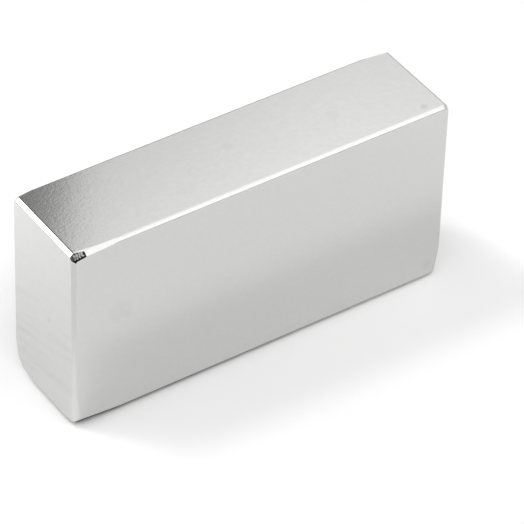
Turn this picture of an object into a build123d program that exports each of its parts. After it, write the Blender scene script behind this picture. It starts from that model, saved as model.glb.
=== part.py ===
from build123d import *
from itertools import product
import os

# Block magnet, in millimetres: one sintered block, ground square, its edges broken flat, then plated.
# It stands on a long narrow side. X runs along it, Y from its front to its back, Z up.
# The origin is the middle of the side that it stands on.

# The ground block
length = 50.8
thickness = 12.7
height = 25.4

# Legs of the flat chamfers: a size for each way that an edge runs, and one for the edges at the foot
length_edge_chamfer = 0.36
thickness_edge_chamfer = 0.46
height_edge_chamfer = 0.28
foot_edge_chamfer = 0.60

# How far the flat across each corner comes in from the sharp corner, at the top and at the foot.
# The front left corner of the foot has none of its own: wear has shaped it.
top_corner_reach = 1.1
foot_corner_reach = 1.6

# Round that tumbling leaves wherever two flats meet
edge_round = 0.24

# A corner is named by its sides: -1 is the low end of an axis, 1 the high end
front_left_top = (-1, -1, 1)
back_left_top = (-1, 1, 1)
back_right_top = (1, 1, 1)
front_left_foot = (-1, -1, -1)
front_right_foot = (1, -1, -1)
back_left_foot = (-1, 1, -1)

# Worn corners: each has been rubbed flat in one or more strokes. A flat reaches in from the sharp
# corner by so much along length, thickness and height.
rubbed_flats = (
    (front_left_top, (13.8, 0.64, 0.64)),
    (front_left_top, (8.9, 0.85, 0.40)),
    (front_left_top, (0.42, 0.42, 60.0)),
    (back_left_top, (5.7, 0.61, 0.61)),
    (back_right_top, (6.8, 0.84, 0.84)),
    (front_left_foot, (0.75, 0.75, 12.0)),
    (front_left_foot, (14.3, 1.03, 1.03)),
    (front_left_foot, (1.15, 5.2, 1.15)),
    (front_right_foot, (0.92, 1.43, 6.1)),
    (back_left_foot, (1.2, 1.2, 6.0)),
    (back_left_foot, (2.7, 2.7, 3.1)),
    (back_left_foot, (1.5, 6.4, 1.56)),
)

# The chip that has broken out of the front left top corner, its upper and its lower flat
chipped_flats = (
    (front_left_top, (5.0, 0.81, 0.86)),
    (front_left_top, (1.0, 0.67, 1.6)),
)


def ground_bar(plane, width, depth, run, leg, lower_leg):
    """A bar centred on the plane, its section chamfered by one leg above and another below."""
    section = Rectangle(width, depth)
    section = chamfer(section.vertices().group_by(Axis.Y)[0], lower_leg)
    section = chamfer(section.vertices().group_by(Axis.Y)[-1], leg)
    return extrude(plane * section, amount=run / 2, dir=plane.z_dir, both=True)


def chamfered_block():
    """Where three bars cross, one along each axis, lies the block with all its edges broken."""
    along_length = ground_bar(Plane.YZ, thickness, height, length, length_edge_chamfer, foot_edge_chamfer)
    along_thickness = ground_bar(Plane.XZ, length, height, thickness, thickness_edge_chamfer, foot_edge_chamfer)
    along_height = ground_bar(Plane.XY, length, thickness, height, height_edge_chamfer, height_edge_chamfer)
    return Pos(0, 0, height / 2) * (along_length & along_thickness & along_height)


def flat_across(sides, reach):
    """A flat facing out of the block that comes in by reach along each axis from the sharp corner."""
    corner = Vector(sides[0] * length / 2, sides[1] * thickness / 2, height if sides[2] > 0 else 0)
    on_length_edge = corner - Vector(sides[0] * reach[0], 0, 0)
    on_thickness_edge = corner - Vector(0, sides[1] * reach[1], 0)
    outward = Vector(*(side / along for side, along in zip(sides, reach)))
    return Plane(on_length_edge, x_dir=on_thickness_edge - on_length_edge, z_dir=outward)


def cut_back(block, sides, reach):
    """The block without what lies beyond such a flat."""
    return split(block, bisect_by=flat_across(sides, reach), keep=Keep.BOTTOM)


magnet = chamfered_block()
for sides in product((-1, 1), repeat=3):
    if sides != front_left_foot:
        corner_reach = top_corner_reach if sides[2] > 0 else foot_corner_reach
        magnet = cut_back(magnet, sides, (corner_reach, corner_reach, corner_reach))
magnet = fillet(magnet.edges(), edge_round)
for sides, reach in rubbed_flats + chipped_flats:
    magnet = cut_back(magnet, sides, reach)

os.makedirs("parts", exist_ok=True)
export_step(magnet, "parts/magnet_block.step")
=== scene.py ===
import math
import bpy
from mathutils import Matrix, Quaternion, Vector


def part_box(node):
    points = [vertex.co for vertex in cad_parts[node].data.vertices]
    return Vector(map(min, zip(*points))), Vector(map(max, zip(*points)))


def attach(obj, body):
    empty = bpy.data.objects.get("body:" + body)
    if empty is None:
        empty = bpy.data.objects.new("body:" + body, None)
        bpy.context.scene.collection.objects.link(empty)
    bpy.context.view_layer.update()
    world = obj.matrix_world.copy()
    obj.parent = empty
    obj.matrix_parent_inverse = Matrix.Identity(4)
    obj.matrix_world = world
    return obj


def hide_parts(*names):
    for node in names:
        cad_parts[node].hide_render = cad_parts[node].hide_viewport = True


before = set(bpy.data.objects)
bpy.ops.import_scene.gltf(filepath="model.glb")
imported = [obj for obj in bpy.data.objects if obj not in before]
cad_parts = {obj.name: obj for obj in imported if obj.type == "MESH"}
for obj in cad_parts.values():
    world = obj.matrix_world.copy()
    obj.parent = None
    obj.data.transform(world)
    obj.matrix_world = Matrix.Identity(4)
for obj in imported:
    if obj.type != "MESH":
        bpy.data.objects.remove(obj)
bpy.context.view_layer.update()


# The camera stands 45 cm off and looks down on a corner of the block, so that the top, the front
# and the left end all show. Its long lens keeps the upright edges nearly parallel.
mm = 0.001
camera_aim = Vector((1.76, -3.53, 10.50)) * mm
camera_distance = 453.1 * mm
camera_azimuth = math.radians(-35.25)
camera_elevation = math.radians(40.39)
camera_roll = math.radians(1.97)
camera_lens = 271.8
camera_sensor_width = 36

towards_camera = Vector((
    math.sin(camera_azimuth) * math.cos(camera_elevation),
    -math.cos(camera_azimuth) * math.cos(camera_elevation),
    math.sin(camera_elevation),
))
bpy.ops.object.select_all(action="DESELECT")
bpy.ops.object.camera_add()
camera = bpy.context.object
camera.name = "camera"
camera.data.sensor_width = camera_sensor_width
camera.data.lens = camera_lens
camera.location = camera_aim + camera_distance * towards_camera
camera_turn = towards_camera.to_track_quat("Z", "Y") @ Quaternion((0, 0, 1), camera_roll)
camera.rotation_euler = camera_turn.to_euler()
bpy.context.scene.camera = camera


# The magnet: a block of sintered neodymium-iron-boron, ground square, its edges and corners broken
# flat, tumbled a little rounder and plated with nickel. Use has rubbed its corners and chipped one.
# It is modelled in millimetres, where the cuts stay exact, and then brought down to metres.
low, high = (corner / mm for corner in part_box("magnet_block"))
length_edge_chamfer = 0.36
thickness_edge_chamfer = 0.46
height_edge_chamfer = 0.28
foot_edge_chamfer = 0.60
top_corner_reach = 1.1
foot_corner_reach = 1.6
round_inset = 0.10
round_steps = 4

# A corner or an edge is named by its sides: -1 is the low end of an axis, 1 the high end, and 0 the
# axis that an edge runs along
front_left_top = (-1, -1, 1)
back_left_top = (-1, 1, 1)
back_right_top = (1, 1, 1)
front_left_foot = (-1, -1, -1)
front_right_foot = (1, -1, -1)
back_left_foot = (-1, 1, -1)
front_foot_edge = (0, -1, -1)

# Worn corners, each rubbed flat in one or more strokes. A flat reaches in from the sharp corner by
# so much along length, thickness and height.
rubbed_upright_edge = (front_left_top, (0.42, 0.42, 60.0))
rubbed_foot_edge = (front_left_foot, (14.3, 1.03, 1.03))
rubbed_flats = (
    (front_left_top, (13.8, 0.64, 0.64)),
    (front_left_top, (8.9, 0.85, 0.40)),
    rubbed_upright_edge,
    (back_left_top, (5.7, 0.61, 0.61)),
    (back_right_top, (6.8, 0.84, 0.84)),
    (front_left_foot, (0.75, 0.75, 12.0)),
    rubbed_foot_edge,
    (front_left_foot, (1.15, 5.2, 1.15)),
    (front_right_foot, (0.92, 1.43, 6.1)),
    (back_left_foot, (1.2, 1.2, 6.0)),
    (back_left_foot, (2.7, 2.7, 3.1)),
    (back_left_foot, (1.5, 6.4, 1.56)),
)

# The chip that has broken out of the front left top corner, its upper and its lower flat
chipped_flats = (
    (front_left_top, (5.0, 0.81, 0.86)),
    (front_left_top, (1.0, 0.67, 1.6)),
)

bpy.ops.object.select_all(action="DESELECT")
bpy.ops.mesh.primitive_cube_add(size=1, location=(low + high) / 2, scale=high - low)
block = bpy.context.object
block.name = "plated_block"
bpy.ops.object.transform_apply(location=True, rotation=True, scale=True)


def flat_across(sides, reach):
    """A point and the outward normal of a flat across a corner or an edge of the block.

    The flat comes in by reach along each axis from the sharp corner or edge.
    """
    outward = Vector(side / along for side, along in zip(sides, reach))
    point = Vector(high[axis] if side > 0 else low[axis] for axis, side in enumerate(sides))
    crossed = 1 if sides[0] == 0 else 0
    point[crossed] -= sides[crossed] * reach[crossed]
    return point, outward.normalized()


def slice_off(sides, reach):
    """Cuts the block off at such a flat."""
    point, outward = flat_across(sides, reach)
    bpy.ops.mesh.select_all(action="SELECT")
    bpy.ops.mesh.bisect(plane_co=point, plane_no=outward, use_fill=True, clear_outer=True)


bpy.ops.object.mode_set(mode="EDIT")
for run, leg in enumerate((length_edge_chamfer, thickness_edge_chamfer, height_edge_chamfer)):
    for first_side in (-1, 1):
        for second_side in (-1, 1):
            sides = [first_side, second_side]
            sides.insert(run, 0)
            slice_off(sides, [foot_edge_chamfer if sides[2] < 0 else leg] * 3)
for end_side in (-1, 1):
    for pole_side in (-1, 1):
        slice_off((end_side, pole_side, 1), [top_corner_reach] * 3)
        if (end_side, pole_side, -1) != front_left_foot:
            slice_off((end_side, pole_side, -1), [foot_corner_reach] * 3)

bpy.ops.mesh.select_all(action="SELECT")
bpy.ops.mesh.normals_make_consistent(inside=False)
bpy.ops.mesh.bevel(offset=round_inset, offset_type="OFFSET", segments=round_steps, affect="EDGES")

for sides, reach in rubbed_flats + chipped_flats:
    slice_off(sides, reach)
    bpy.ops.mesh.mark_sharp()

bpy.ops.mesh.select_all(action="SELECT")
bpy.ops.transform.resize(value=(mm, mm, mm), center_override=(0, 0, 0))
bpy.ops.object.mode_set(mode="OBJECT")
bpy.ops.object.shade_smooth()
bpy.ops.object.modifier_add(type="WEIGHTED_NORMAL")
face_normals = block.modifiers[0]
face_normals.weight = 100
face_normals.keep_sharp = True
bpy.ops.object.modifier_apply(modifier=face_normals.name)


# Bright nickel, plated over the ground block: it mirrors its surroundings softly, and its fine
# orange peel shows as grain where the mirrored light turns to dark.
def srgb(code):
    """The linear colour of an sRGB hex value."""
    parts = [int(code[place:place + 2], 16) / 255 for place in (1, 3, 5)]
    return [part / 12.92 if part <= 0.04045 else ((part + 0.055) / 1.055) ** 2.4 for part in parts] + [1]


def add_node(tree, kind, settings=(), values=(), links=()):
    """Adds a node, sets its settings and sockets, and links other nodes' outputs into it."""
    node = tree.nodes.new(kind)
    for name, value in dict(settings).items():
        setattr(node, name, value)
    for socket, value in dict(values).items():
        node.inputs[socket].default_value = value
    for socket, output in dict(links).items():
        tree.links.new(output, node.inputs[socket])
    return node


polished_roughness = 0.14
broken_roughness = 0.5
peel_width = 0.35 * mm
peel_depth = 0.0052 * mm

nickel = bpy.data.materials.new("bright_nickel_plating")
nickel.use_nodes = True
tree = nickel.node_tree
tree.nodes.clear()
place = add_node(tree, "ShaderNodeTexCoord").outputs["Object"]
axes = add_node(tree, "ShaderNodeSeparateXYZ", {}, {}, {0: place})
peel = add_node(tree, "ShaderNodeTexNoise", {},
                {"Scale": 1 / peel_width, "Detail": 3.0, "Roughness": 0.6}, {"Vector": place})
peeled = add_node(tree, "ShaderNodeBump", {}, {"Strength": 1.0, "Distance": peel_depth},
                  {"Height": peel.outputs["Fac"]})

# A node that mixes colours has them on its sockets 6 and 7, and the mixed colour on its output 2
first_colour = 6
second_colour = 7
mixed_colour = 2


def along_flats(flats, start, full):
    """How much a point belongs to any of the flats, from start to full millimetres beneath them."""
    belongs = None
    for sides, reach in flats:
        point, outward = flat_across(sides, reach)
        level = outward.dot(point)
        height = add_node(tree, "ShaderNodeVectorMath", {"operation": "DOT_PRODUCT"},
                          {1: outward}, {0: place})
        on_flat = add_node(tree, "ShaderNodeMapRange", {"interpolation_type": "SMOOTHSTEP"},
                           {"From Min": (level - start) * mm, "From Max": (level - full) * mm},
                           {"Value": height.outputs["Value"]}).outputs["Result"]
        if belongs is None:
            belongs = on_flat
        else:
            belongs = add_node(tree, "ShaderNodeMath", {"operation": "MAXIMUM"}, {},
                               {0: belongs, 1: on_flat}).outputs[0]
    return belongs


def faded(amount, *fades):
    """An amount that fades along the block.

    Each fade gives an axis, two places along it in millimetres, and what is left at each of them.
    """
    for axis, start, end, left_at_start, left_at_end in fades:
        left = add_node(tree, "ShaderNodeMapRange", {},
                        {"From Min": start * mm, "From Max": end * mm,
                         "To Min": left_at_start, "To Max": left_at_end},
                        {"Value": axes.outputs[axis]})
        amount = add_node(tree, "ShaderNodeMath", {"operation": "MULTIPLY"}, {},
                          {0: amount, 1: left.outputs["Result"]}).outputs[0]
    return amount


def darkened_by_dirt_and_shade(clean, share):
    """A clean colour with a share of it gone dark: worn and dirty metal for the spots and streaks,
    painted shade for the foot edge.
    """
    return add_node(tree, "ShaderNodeMix", {"data_type": "RGBA"}, {second_colour: srgb("#1E1E1D")},
                    {"Factor": share, first_colour: clean}).outputs[mixed_colour]


# Handling has left a faint, fine mottling all over
mottle_width = 0.7 * mm
mottling = add_node(tree, "ShaderNodeTexNoise", {},
                    {"Scale": 1 / mottle_width, "Detail": 3.0, "Roughness": 0.8}, {"Vector": place})
plating = add_node(tree, "ShaderNodeMix", {"data_type": "RGBA"},
                   {first_colour: srgb("#C9C9C8"), second_colour: srgb("#D2D2D1")},
                   {"Factor": mottling.outputs["Fac"]}).outputs[mixed_colour]

# Here and there a dull spot fades out over its radius, in millimetres
spot_core = 0.3
for centre, radius, strength in (
    ((22.6, -5.0, 25.4), 0.6, 0.12),
    ((-19.2, -6.35, 15.1), 2.2, 0.035),
    ((-18.2, -6.35, 14.0), 0.7, 0.04),
    ((23.4, -6.35, 2.4), 0.9, 0.05),
    ((-0.4, 0.8, 25.4), 1.0, 0.03),
    ((12.8, -0.7, 25.4), 1.2, 0.03),
    ((-25.4, -1.2, 12.6), 0.4, 0.12),
    ((-25.4, -2.2, 12.4), 0.3, 0.06),
    ((-25.4, 4.2, 4.3), 0.7, 0.06),
):
    away = add_node(tree, "ShaderNodeVectorMath", {"operation": "DISTANCE"},
                    {1: Vector(centre) * mm}, {0: place})
    spot = add_node(tree, "ShaderNodeMapRange", {"interpolation_type": "SMOOTHSTEP"},
                    {"From Min": radius * mm, "From Max": spot_core * radius * mm},
                    {"Value": away.outputs["Value"]})
    share = add_node(tree, "ShaderNodeMath", {"operation": "MULTIPLY"}, {1: strength},
                     {0: spot.outputs["Result"]})
    plating = darkened_by_dirt_and_shade(plating, share.outputs[0])

# Wiping has left thin, faint streaks across the left end, sloping down towards the back
streak_size = (1 * mm, 7 * mm, 0.8 * mm)
streak_slope = math.radians(-15)
wiped = add_node(tree, "ShaderNodeMapping", {"vector_type": "TEXTURE"},
                 {"Rotation": (streak_slope, 0, 0), "Scale": streak_size}, {"Vector": place})
streaks = add_node(tree, "ShaderNodeTexNoise", {}, {"Scale": 1.0, "Detail": 3.0},
                   {"Vector": wiped.outputs["Vector"]})
thin_streaks = add_node(tree, "ShaderNodeMapRange", {},
                        {"From Min": 0.5, "From Max": 0.75, "To Max": 0.08},
                        {"Value": streaks.outputs["Fac"]})
plating = darkened_by_dirt_and_shade(plating, faded(thin_streaks.outputs["Result"],
                                ("X", -25.4, -25.3, 1.0, 0.0), ("Z", 13.0, 19.0, 1.0, 0.2)))

# Painted shade: the front edge of the foot is painted dark, most of all towards its left end, standing
# in for the contact shadow where the block meets the board.
# The upright edge left of the front is darkened very lightly towards its top.
front_foot_chamfer = (front_foot_edge, (1, foot_edge_chamfer, foot_edge_chamfer))
painted_foot_contact_shade = faded(along_flats((front_foot_chamfer, rubbed_foot_edge), start=0.17, full=0.05),
                   ("X", -25.4, -13.0, 1.0, 0.80), ("X", -13.0, 25.4, 1.0, 0.35),
                   ("X", -25.3, -24.9, 0.0, 1.0))
upright_edge_darkening = faded(along_flats((rubbed_upright_edge,), start=0.05, full=0.02),
                      ("Z", 9.0, 15.0, 0.0, 0.10))
# The painted contact shade at the foot, together with the light darkening of the upright edge
foot_shade_and_upright_darkening = add_node(tree, "ShaderNodeMath", {"operation": "MAXIMUM"}, {},
                 {0: painted_foot_contact_shade, 1: upright_edge_darkening})
plating = darkened_by_dirt_and_shade(plating, foot_shade_and_upright_darkening.outputs[0])

# The chip has gone through the plating to the sintered metal, whose broken grain is dark, with ridges
# and specks that glint. Towards the chip's lower and front rims and its right end the grain is painted
# darker still, as painted shade in the hollow of the chip.
crumb_width = 0.15 * mm
ridge_spacing = 0.34 * mm
ridge_share = 0.28
wave_radians_per_unit = 20
crumbs = add_node(tree, "ShaderNodeTexNoise", {}, {"Scale": 1 / crumb_width, "Detail": 2.0},
                  {"Vector": place})
ridges = add_node(tree, "ShaderNodeTexWave", {"bands_direction": "X"},
                  {"Scale": 2 * math.pi / wave_radians_per_unit / ridge_spacing,
                   "Distortion": 2.0, "Detail": 2.0}, {"Vector": place})
rough_break = add_node(tree, "ShaderNodeMath", {"operation": "MULTIPLY_ADD"}, {1: ridge_share},
                       {0: ridges.outputs["Fac"], 2: crumbs.outputs["Fac"]})
# Painted shade: the grain fades darker towards the lower and front rims of the chip and its right end
grain_shaded_at_rims = faded(rough_break.outputs[0],
                   ("Y", -6.34, -6.20, 0.0, 1.0), ("X", -23.82, -23.72, 1.0, 0.2),
                   ("Z", 24.3, 24.8, 0.0, 1.0), ("X", -25.3, -24.5, 0.75, 1.0))
sintered = add_node(tree, "ShaderNodeValToRGB", {}, {}, {"Fac": grain_shaded_at_rims})
dark_grain, glinting_grain = sintered.color_ramp.elements
dark_grain.position = 0.45
dark_grain.color = srgb("#141413")
glinting_grain.position = 0.8
glinting_grain.color = srgb("#D8D7D4")

chipped = faded(along_flats(chipped_flats, start=0.03, full=0.01), ("X", -23.68, -23.60, 1.0, 0.0))
colour = add_node(tree, "ShaderNodeMix", {"data_type": "RGBA"}, {},
                  {"Factor": chipped, first_colour: plating, second_colour: sintered.outputs["Color"]})
roughness = add_node(tree, "ShaderNodeMapRange", {},
                     {"To Min": polished_roughness, "To Max": broken_roughness}, {"Value": chipped})
shader = add_node(tree, "ShaderNodeBsdfPrincipled", {}, {"Metallic": 1.0},
                  {"Base Color": colour.outputs[mixed_colour],
                   "Roughness": roughness.outputs["Result"],
                   "Normal": peeled.outputs["Normal"]})
add_node(tree, "ShaderNodeOutputMaterial", {}, {}, {"Surface": shader.outputs["BSDF"]})
block.data.materials.append(nickel)

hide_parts("magnet_block")
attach(block, "root")


# The ground: a wide sheet of plain white board that lies flat under the block. It is matt all over,
# so that it shows the block's soft shadow and no glint.
board_width = 8
bpy.ops.object.select_all(action="DESELECT")
bpy.ops.mesh.primitive_plane_add(size=board_width)
floor = bpy.context.object
floor.name = "white_board"
board = bpy.data.materials.new("white_board")
board.use_nodes = True
board_shader = board.node_tree.nodes["Principled BSDF"]
board_shader.inputs["Base Color"].default_value = srgb("#DBDBDB")
board_shader.inputs["Roughness"].default_value = 0.9
board_shader.inputs["Specular IOR Level"].default_value = 0.0
floor.data.materials.append(board)


# Studio light: a high key light from the back left, and square soft boxes around the block, out of
# the camera's sight. As screens do in a studio, some keep off the metal and one keeps off the board.
bpy.context.scene.view_settings.view_transform = "Standard"
middle = (low + high) / 2 * mm


def soft_box(name, place, side, radiance, unseen_by=None, aim=middle):
    """A square soft box at a place, facing the block or another aim. The camera doesn't see it.

    One that is unseen by "glossy" isn't mirrored in the metal, and one that is unseen by "diffuse"
    doesn't light the board.
    """
    bpy.ops.object.select_all(action="DESELECT")
    bpy.ops.object.light_add(type="AREA", location=place)
    box = bpy.context.object
    box.name = name
    box.rotation_euler = (place - aim).to_track_quat("Z", "Y").to_euler()
    box.data.shape = "SQUARE"
    box.data.size = side
    box.data.energy = radiance * math.pi * side * side
    box.visible_camera = False
    if unseen_by:
        setattr(box, "visible_" + unseen_by, False)


for name, direction, distance, side, radiance, unseen_by in (
    ("key_light", (-0.33, 0.37, 0.87), 1.0, 0.18, 26.0, None),
    ("front_right_box", (0.43, -0.634, 0.642), 0.25, 0.14, 1.1, None),
    ("back_left_box", (-0.634, 0.642, 0.43), 0.2, 0.12, 3.5, "diffuse"),
    ("left_box", (-0.88, 0.20, 0.43), 0.3, 0.20, 2.5, "glossy"),
    ("low_left_box", (-0.736, 0.552, 0.393), 0.0815, 0.05, 2.0, "glossy"),
    ("low_back_box", (-0.35, 0.82, 0.44), 0.08, 0.05, 1.6, "glossy"),
    ("right_box", (0.80, -0.42, 0.43), 0.2, 0.12, 4.5, "glossy"),
):
    soft_box(name, middle + distance * Vector(direction), side, radiance, unseen_by)

# A small one, low beside the right end, shines straight down and ends the shadow there
low_right_place = Vector((42, -4, 8)) * mm
soft_box("low_right_box", low_right_place, 0.012, 0.9, "glossy",
         aim=low_right_place - Vector((0, 0, 1)))

# A glowing card close behind the block's right end lights its top. Its near edge is what the left
# end of the top stops mirroring, and it is brighter away from that edge and towards its top.
card_direction = Vector((0.43, 0.642, 0.634)).normalized()
card_distance = 170 * mm
card_width = 160 * mm
card_height = 120 * mm
card_near_edge = 22.7 * mm
card_tilt = math.radians(-4)
near_edge_glow = 0.94
full_glow = 1.26
glow_per_height = 1.2
glow_offset = -0.08
card_place = middle + card_distance * card_direction
card_turn = card_direction.to_track_quat("Z", "Y") @ Quaternion((0, 0, 1), card_tilt)
bpy.ops.object.select_all(action="DESELECT")
bpy.ops.mesh.primitive_plane_add(size=1, location=card_place, rotation=card_turn.to_euler())
card = bpy.context.object
card.name = "glowing_card"
card.scale = (card_width, card_height, 1)
card.location += card_turn @ Vector((card_near_edge - card_width / 2, 0, 0))
for ray_kind in ("visible_camera", "visible_diffuse", "visible_shadow"):
    setattr(card, ray_kind, False)
glow = bpy.data.materials.new("glowing_card")
glow.use_nodes = True
tree = glow.node_tree
tree.nodes.clear()
across = add_node(tree, "ShaderNodeSeparateXYZ", {}, {},
                  {0: add_node(tree, "ShaderNodeTexCoord").outputs["Object"]})
sideways = add_node(tree, "ShaderNodeMapRange", {"interpolation_type": "SMOOTHSTEP"},
                    {"From Min": 0.5, "From Max": 0.2, "To Min": near_edge_glow, "To Max": full_glow},
                    {"Value": across.outputs["X"]})
upwards = add_node(tree, "ShaderNodeMath", {"operation": "MULTIPLY_ADD"},
                   {1: glow_per_height, 2: glow_offset}, {0: across.outputs["Y"]})
brightness = add_node(tree, "ShaderNodeMath", {"operation": "ADD"}, {},
                      {0: sideways.outputs["Result"], 1: upwards.outputs[0]})
emission = add_node(tree, "ShaderNodeEmission", {}, {}, {"Strength": brightness.outputs[0]})
add_node(tree, "ShaderNodeOutputMaterial", {}, {}, {"Surface": emission.outputs[0]})
card.data.materials.append(glow)

# The room: plain white behind the board for the camera. A wide patch high in front lights the board,
# and the metal mirrors dimmer walls with lighter and darker patches.
room = bpy.data.worlds.new("studio_room")
bpy.context.scene.world = room
room.use_nodes = True
tree = room.node_tree
tree.nodes.clear()
ray = add_node(tree, "ShaderNodeLightPath")
direction = add_node(tree, "ShaderNodeTexCoord").outputs["Generated"]


def patch(towards, inner, outer, inside, outside):
    """A brightness around a direction, fading between two angles in degrees to another one."""
    near = add_node(tree, "ShaderNodeVectorMath", {"operation": "DOT_PRODUCT"},
                    {1: Vector(towards).normalized()}, {0: direction})
    numbers = {"From Min": math.cos(math.radians(outer)), "From Max": math.cos(math.radians(inner)),
               "To Max": inside}
    links = {"Value": near.outputs["Value"]}
    if isinstance(outside, float):
        numbers["To Min"] = outside
    else:
        links["To Min"] = outside
    return add_node(tree, "ShaderNodeMapRange", {"interpolation_type": "SMOOTHSTEP"}, numbers,
                    links).outputs["Result"]


on_board = patch((-0.2, -0.6, 0.8), 15, 42, 2.38, 0.22)
in_metal = 0.38
for towards, inner, outer, inside in (
    ((0.1, 0.8, 0.6), 5, 30, 0.20),
    ((0.43, 0.0, 0.9), 10, 35, 1.4),
    ((-0.14, 0.64, 0.75), 8, 22, 0.03),
    ((0.43, -0.9, 0.1), 15, 45, 0.75),
    ((0.9, -0.2, 0.15), 20, 40, 1.3),
    ((-0.6, -0.6, 0.4), 10, 45, 0.1),
    ((0.44, 0.64, 0.08), 8, 22, 0.03),
):
    in_metal = patch(towards, inner, outer, inside, in_metal)

white = srgb("#FFFFFF")
backdrop_brightness = 1.1
board_light = add_node(tree, "ShaderNodeBackground", {}, {"Color": white}, {"Strength": on_board})
metal_light = add_node(tree, "ShaderNodeBackground", {}, {"Color": white}, {"Strength": in_metal})
backdrop = add_node(tree, "ShaderNodeBackground", {},
                    {"Color": white, "Strength": backdrop_brightness})

# A ray that no matt surface has scattered yet, with a diffuse depth of 0, comes from the metal
not_yet_scattered = add_node(tree, "ShaderNodeMath", {"operation": "COMPARE"}, {1: 0.0, 2: 0.5},
                             {0: ray.outputs["Diffuse Depth"]})
received = add_node(tree, "ShaderNodeMixShader", {}, {},
                    {0: not_yet_scattered.outputs[0], 1: board_light.outputs[0],
                     2: metal_light.outputs[0]})
seen = add_node(tree, "ShaderNodeMixShader", {}, {},
                {0: ray.outputs["Is Camera Ray"], 1: received.outputs[0], 2: backdrop.outputs[0]})
add_node(tree, "ShaderNodeOutputWorld", {}, {}, {"Surface": seen.outputs[0]})
